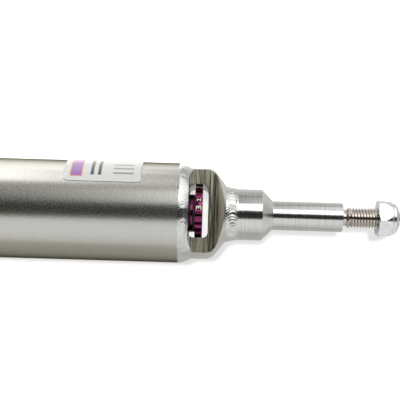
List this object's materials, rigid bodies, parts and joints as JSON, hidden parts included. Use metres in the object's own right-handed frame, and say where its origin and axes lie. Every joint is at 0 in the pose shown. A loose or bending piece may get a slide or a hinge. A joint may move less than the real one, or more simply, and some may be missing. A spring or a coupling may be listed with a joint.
{
  "type": "coilover shock absorber",
  "caption": "Height-adjustable coilover damper: ground tube with spring collar and coil spring, numbered adjuster dial in a slotted end fitting, plain pin and stud with lock nut.",
  "frame": {"origin": "middle of the lower end's plain mounting pin, on the damper's axis", "axes": "+X along the damper's axis from the rod towards the lower stud; +Z square to the lower fitting's two milled flats; +Y completes the right-handed frame"},
  "size_m": [0.5932, 0.088, 0.088],
  "materials": {
    "ground_steel": "ground round the tube, satin",
    "fitting_steel": "milled flats on a turned body",
    "turned_steel": "fine turned, bright",
    "weld_steel": "rippled weld bead, bright",
    "zinc_steel": "zinc plated, bright",
    "nylon": "smooth",
    "purple_aluminium": "turned and anodised, satin",
    "dark_steel": "blackened",
    "spindle_steel": "turned",
    "seal_rubber": "smooth",
    "brass": "turned",
    "plain_aluminium": "turned",
    "shim_steel": "smooth spring steel",
    "drawn_steel": "drawn",
    "sintered_iron": "sintered, fine grain",
    "band_plastic": "smooth",
    "black_steel": "satin black",
    "chrome_rod": "hard chrome, polished",
    "bump_foam": "matt microcellular foam",
    "black_aluminium": "black anodised, satin",
    "slip_plastic": "smooth",
    "spring_paint": "graphite powder coat, satin",
    "label_film": "printed film"
  },
  "bodies": {
    "tube": {"damper_tube": "ground_steel", "lower_fitting": "fitting_steel", "lower_pin": "turned_steel", "tube_weld": "weld_steel", "pin_weld": "weld_steel", "label": "label_film", "tube_cap": "black_steel", "rod_wiper": "seal_rubber", "rod_seal": "seal_rubber", "rod_guide": "plain_aluminium", "guide_bush": "brass", "guide_o_ring": "seal_rubber", "pressure_tube": "drawn_steel", "base_valve_body": "plain_aluminium", "base_valve_bolt": "spindle_steel", "base_valve_shims": "shim_steel", "spindle_o_ring": "seal_rubber", "detent_ball": "spindle_steel", "detent_spring": "spindle_steel"},
    "rod": {"piston_rod": "chrome_rod", "piston": "sintered_iron", "piston_band": "band_plastic", "rebound_shims": "shim_steel", "compression_shims": "shim_steel", "piston_nut": "zinc_steel", "backing_washer": "spindle_steel", "rebound_stop": "seal_rubber", "bump_stop": "bump_foam", "upper_spring_seat": "black_aluminium", "seat_nut": "zinc_steel", "coil_spring": "spring_paint"},
    "dial": {"adjuster_dial": "purple_aluminium", "dial_set_screw": "dark_steel", "adjuster_spindle": "spindle_steel", "spindle_circlip": "dark_steel"},
    "needle": {"metering_needle": "brass"},
    "slip_ring": {"spring_slip_ring": "slip_plastic"},
    "collar": {"perch_collar": "black_aluminium", "perch_lock_screw": "dark_steel"},
    "nut": {"lock_nut": "zinc_steel", "lock_nut_insert": "nylon"}
  },
  "joints": [
    {"name": "rod_slide", "type": "slide", "parent": "tube", "child": "rod", "axis": [1, 0, 0], "range_m": [0, 0.12], "stiffness_N_per_m": 49000, "springref_m": -0.004, "deforming": ["coil_spring"]},
    {"name": "dial_turn", "type": "hinge", "parent": "tube", "child": "dial", "pos_m": [-0.05445, 0, 0], "axis": [1, 0, 0], "range_deg": [-282.86, 51.43]},
    {"name": "needle_travel", "type": "slide", "parent": "tube", "child": "needle", "axis": [1, 0, 0], "range_m": [-0.00012, 0.00064]},
    {"name": "perch_slide", "type": "slide", "parent": "tube", "child": "slip_ring", "axis": [1, 0, 0], "range_m": [0, 0.0301]},
    {"name": "perch_turn", "type": "hinge", "parent": "slip_ring", "child": "collar", "pos_m": [-0.27725, 0, 0], "axis": [1, 0, 0], "range_deg": [0, 4320]},
    {"name": "nut_off", "type": "slide", "parent": "tube", "child": "nut", "axis": [1, 0, 0], "range_m": [0, 0.04]}
  ],
  "couplings": [
    {"joint": "needle_travel", "follows": "dial_turn", "m_per_rad": -0.00012732},
    {"joint": "perch_slide", "follows": "perch_turn", "m_per_rad": 0.00039789}
  ]
}
